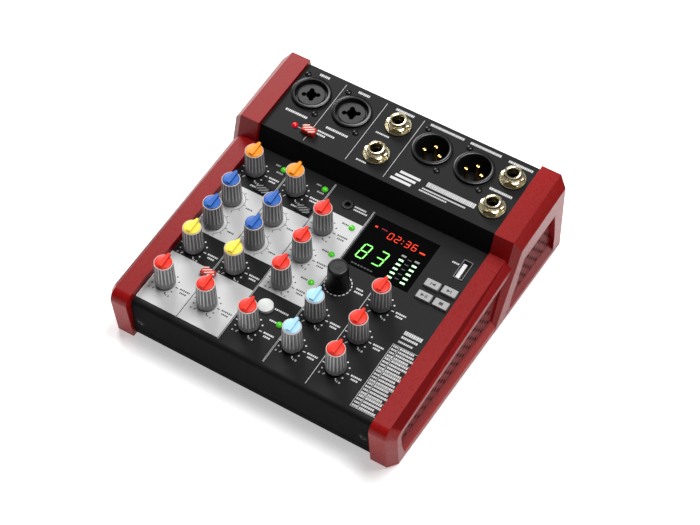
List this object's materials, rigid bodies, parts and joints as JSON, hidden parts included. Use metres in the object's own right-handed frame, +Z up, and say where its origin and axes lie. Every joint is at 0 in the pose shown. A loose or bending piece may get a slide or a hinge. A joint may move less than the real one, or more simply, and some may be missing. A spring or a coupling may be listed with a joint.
{
  "type": "mixing console",
  "caption": "Compact desktop audio mixing console with sloping control panel, raised socket panel, coloured rotary knobs, push buttons, display and moulded side cheeks.",
  "frame": {"origin": "centre of the bounding box at the level of the feet", "axes": "+Z up, +X to the operator's right, the operator sits at -Y and the raised socket panel is at +Y"},
  "size_m": [0.188, 0.2101, 0.0747],
  "materials": {
    "case_paint": "fine-textured satin charcoal paint",
    "cheek_plastic": "semi-gloss moulded red plastic",
    "knob_grey": "satin grey fluted plastic",
    "cap_orange": "semi-gloss orange cap",
    "cap_blue": "semi-gloss blue cap",
    "cap_yellow": "semi-gloss yellow cap",
    "cap_red": "semi-gloss red cap",
    "cap_pale_blue": "semi-gloss pale blue cap",
    "black_plastic": "satin black plastic",
    "button_grey": "satin grey plastic",
    "button_red": "semi-gloss red plastic",
    "display": "glossy dark window",
    "plated_steel": "bright plated steel",
    "brass_plate": "polished pale brass plate",
    "rubber": "matt rubber",
    "circuit_board": "green solder mask",
    "lamp_green": "clear green lens",
    "lamp_red": "clear red lens",
    "panel_print": "light silver-grey panel print"
  },
  "bodies": {
    "case": {"top_case": "case_paint", "bottom_pan": "case_paint", "left_cheek": "cheek_plastic", "right_cheek": "cheek_plastic", "signal_lamp_1": "lamp_green", "signal_lamp_2": "lamp_green", "stereo_lamp": "lamp_green", "computer_lamp": "lamp_green", "media_lamp": "lamp_green", "wireless_lamp": "lamp_green", "phantom_power_lamp": "lamp_red", "display_window": "display", "media_port": "plated_steel", "small_stereo_socket": "black_plastic", "mic_line_socket_1": "black_plastic", "mic_line_socket_2": "black_plastic", "main_output_left": "black_plastic", "main_output_right": "black_plastic", "line_input_left": "brass_plate", "line_input_right": "brass_plate", "foot_switch_jack": "brass_plate", "phones_jack": "brass_plate", "power_inlet": "black_plastic", "control_board": "circuit_board", "connector_board": "circuit_board", "front_left_foot": "rubber", "front_right_foot": "rubber", "rear_left_foot": "rubber", "rear_right_foot": "rubber"},
    "gain_knob_1": {"gain_knob_1": "cap_orange"},
    "treble_knob_1": {"treble_knob_1": "cap_blue"},
    "bass_knob_1": {"bass_knob_1": "cap_blue"},
    "effect_send_knob_1": {"effect_send_knob_1": "cap_yellow"},
    "level_knob_1": {"level_knob_1": "cap_red"},
    "gain_knob_2": {"gain_knob_2": "cap_orange"},
    "treble_knob_2": {"treble_knob_2": "cap_blue"},
    "bass_knob_2": {"bass_knob_2": "cap_blue"},
    "effect_send_knob_2": {"effect_send_knob_2": "cap_yellow"},
    "level_knob_2": {"level_knob_2": "cap_red"},
    "stereo_level_knob": {"stereo_level_knob": "cap_red"},
    "computer_level_knob": {"computer_level_knob": "cap_red"},
    "media_level_knob": {"media_level_knob": "cap_red"},
    "wireless_level_knob": {"wireless_level_knob": "cap_red"},
    "effect_time_knob": {"effect_time_knob": "cap_pale_blue"},
    "effect_repeat_knob": {"effect_repeat_knob": "cap_pale_blue"},
    "effect_return_knob": {"effect_return_knob": "cap_red"},
    "phones_level_knob": {"phones_level_knob": "cap_red"},
    "main_level_knob": {"main_level_knob": "cap_red"},
    "effect_select_knob": {"effect_select_knob": "black_plastic"},
    "low_cut_button_1": {"low_cut_button_1": "black_plastic"},
    "low_cut_button_2": {"low_cut_button_2": "black_plastic"},
    "mono_stereo_button": {"mono_stereo_button": "button_red"},
    "phantom_power_button": {"phantom_power_button": "button_red"},
    "previous_button": {"previous_button": "button_grey"},
    "next_button": {"next_button": "button_grey"},
    "play_button": {"play_button": "button_grey"},
    "stop_button": {"stop_button": "button_grey"},
    "pairing_button": {"pairing_button": "button_grey"},
    "power_button": {"power_button": "black_plastic"}
  },
  "joints": [
    {"name": "gain_knob_1_turn", "type": "hinge", "parent": "case", "child": "gain_knob_1", "pos_m": [-0.06735, 0.01031, 0.04608], "axis": [0, -0.1115, 0.9938], "range_deg": [-150, 150]},
    {"name": "treble_knob_1_turn", "type": "hinge", "parent": "case", "child": "treble_knob_1", "pos_m": [-0.06735, -0.01364, 0.0434], "axis": [0, -0.1115, 0.9938], "range_deg": [-150, 150]},
    {"name": "bass_knob_1_turn", "type": "hinge", "parent": "case", "child": "bass_knob_1", "pos_m": [-0.06735, -0.03272, 0.04126], "axis": [0, -0.1115, 0.9938], "range_deg": [-150, 150]},
    {"name": "effect_send_knob_1_turn", "type": "hinge", "parent": "case", "child": "effect_send_knob_1", "pos_m": [-0.06735, -0.0529, 0.03899], "axis": [0, -0.1115, 0.9938], "range_deg": [-150, 150]},
    {"name": "level_knob_1_turn", "type": "hinge", "parent": "case", "child": "level_knob_1", "pos_m": [-0.06735, -0.08062, 0.03588], "axis": [0, -0.1115, 0.9938], "range_deg": [-150, 150]},
    {"name": "gain_knob_2_turn", "type": "hinge", "parent": "case", "child": "gain_knob_2", "pos_m": [-0.04005, 0.01031, 0.04608], "axis": [0, -0.1115, 0.9938], "range_deg": [-150, 150]},
    {"name": "treble_knob_2_turn", "type": "hinge", "parent": "case", "child": "treble_knob_2", "pos_m": [-0.04005, -0.01364, 0.0434], "axis": [0, -0.1115, 0.9938], "range_deg": [-150, 150]},
    {"name": "bass_knob_2_turn", "type": "hinge", "parent": "case", "child": "bass_knob_2", "pos_m": [-0.04005, -0.03272, 0.04126], "axis": [0, -0.1115, 0.9938], "range_deg": [-150, 150]},
    {"name": "effect_send_knob_2_turn", "type": "hinge", "parent": "case", "child": "effect_send_knob_2", "pos_m": [-0.04005, -0.0529, 0.03899], "axis": [0, -0.1115, 0.9938], "range_deg": [-150, 150]},
    {"name": "level_knob_2_turn", "type": "hinge", "parent": "case", "child": "level_knob_2", "pos_m": [-0.04005, -0.08062, 0.03588], "axis": [0, -0.1115, 0.9938], "range_deg": [-150, 150]},
    {"name": "stereo_level_knob_turn", "type": "hinge", "parent": "case", "child": "stereo_level_knob", "pos_m": [-0.01275, -0.0044, 0.04443], "axis": [0, -0.1115, 0.9938], "range_deg": [-150, 150]},
    {"name": "computer_level_knob_turn", "type": "hinge", "parent": "case", "child": "computer_level_knob", "pos_m": [-0.01275, -0.02641, 0.04196], "axis": [0, -0.1115, 0.9938], "range_deg": [-150, 150]},
    {"name": "media_level_knob_turn", "type": "hinge", "parent": "case", "child": "media_level_knob", "pos_m": [-0.01275, -0.04783, 0.03956], "axis": [0, -0.1115, 0.9938], "range_deg": [-150, 150]},
    {"name": "wireless_level_knob_turn", "type": "hinge", "parent": "case", "child": "wireless_level_knob", "pos_m": [-0.01275, -0.08102, 0.03584], "axis": [0, -0.1115, 0.9938], "range_deg": [-150, 150]},
    {"name": "effect_time_knob_turn", "type": "hinge", "parent": "case", "child": "effect_time_knob", "pos_m": [0.01455, -0.05707, 0.03852], "axis": [0, -0.1115, 0.9938], "range_deg": [-150, 150]},
    {"name": "effect_repeat_knob_turn", "type": "hinge", "parent": "case", "child": "effect_repeat_knob", "pos_m": [0.01455, -0.08023, 0.03593], "axis": [0, -0.1115, 0.9938], "range_deg": [-150, 150]},
    {"name": "effect_return_knob_turn", "type": "hinge", "parent": "case", "child": "effect_return_knob", "pos_m": [0.04185, -0.03302, 0.04122], "axis": [0, -0.1115, 0.9938], "range_deg": [-150, 150]},
    {"name": "phones_level_knob_turn", "type": "hinge", "parent": "case", "child": "phones_level_knob", "pos_m": [0.04185, -0.05707, 0.03852], "axis": [0, -0.1115, 0.9938], "range_deg": [-150, 150]},
    {"name": "main_level_knob_turn", "type": "hinge", "parent": "case", "child": "main_level_knob", "pos_m": [0.04185, -0.08023, 0.03593], "axis": [0, -0.1115, 0.9938], "range_deg": [-150, 150]},
    {"name": "effect_select_knob_turn", "type": "hinge", "parent": "case", "child": "effect_select_knob", "pos_m": [0.01455, -0.03302, 0.04122], "axis": [0, -0.1115, 0.9938], "continuous": true},
    {"name": "low_cut_button_1_press", "type": "slide", "parent": "case", "child": "low_cut_button_1", "axis": [0, -0.1115, 0.9938], "range_m": [0, 0.0024]},
    {"name": "low_cut_button_2_press", "type": "slide", "parent": "case", "child": "low_cut_button_2", "axis": [0, -0.1115, 0.9938], "range_m": [0, 0.0024]},
    {"name": "mono_stereo_button_press", "type": "slide", "parent": "case", "child": "mono_stereo_button", "axis": [0, -0.1115, 0.9938], "range_m": [-0.0024, 0]},
    {"name": "phantom_power_button_press", "type": "slide", "parent": "case", "child": "phantom_power_button", "axis": [0, -0.1219, 0.9925], "range_m": [-0.0024, 0]},
    {"name": "previous_button_press", "type": "slide", "parent": "case", "child": "previous_button", "axis": [0, -0.1115, 0.9938], "range_m": [-0.001, 0], "stiffness_N_per_m": 250},
    {"name": "next_button_press", "type": "slide", "parent": "case", "child": "next_button", "axis": [0, -0.1115, 0.9938], "range_m": [-0.001, 0], "stiffness_N_per_m": 250},
    {"name": "play_button_press", "type": "slide", "parent": "case", "child": "play_button", "axis": [0, -0.1115, 0.9938], "range_m": [-0.001, 0], "stiffness_N_per_m": 250},
    {"name": "stop_button_press", "type": "slide", "parent": "case", "child": "stop_button", "axis": [0, -0.1115, 0.9938], "range_m": [-0.001, 0], "stiffness_N_per_m": 250},
    {"name": "pairing_button_press", "type": "slide", "parent": "case", "child": "pairing_button", "axis": [0, -0.1115, 0.9938], "range_m": [-0.001, 0], "stiffness_N_per_m": 250},
    {"name": "power_button_press", "type": "slide", "parent": "case", "child": "power_button", "axis": [0, 0.9613, 0.2756], "range_m": [-0.002, 0]}
  ]
}
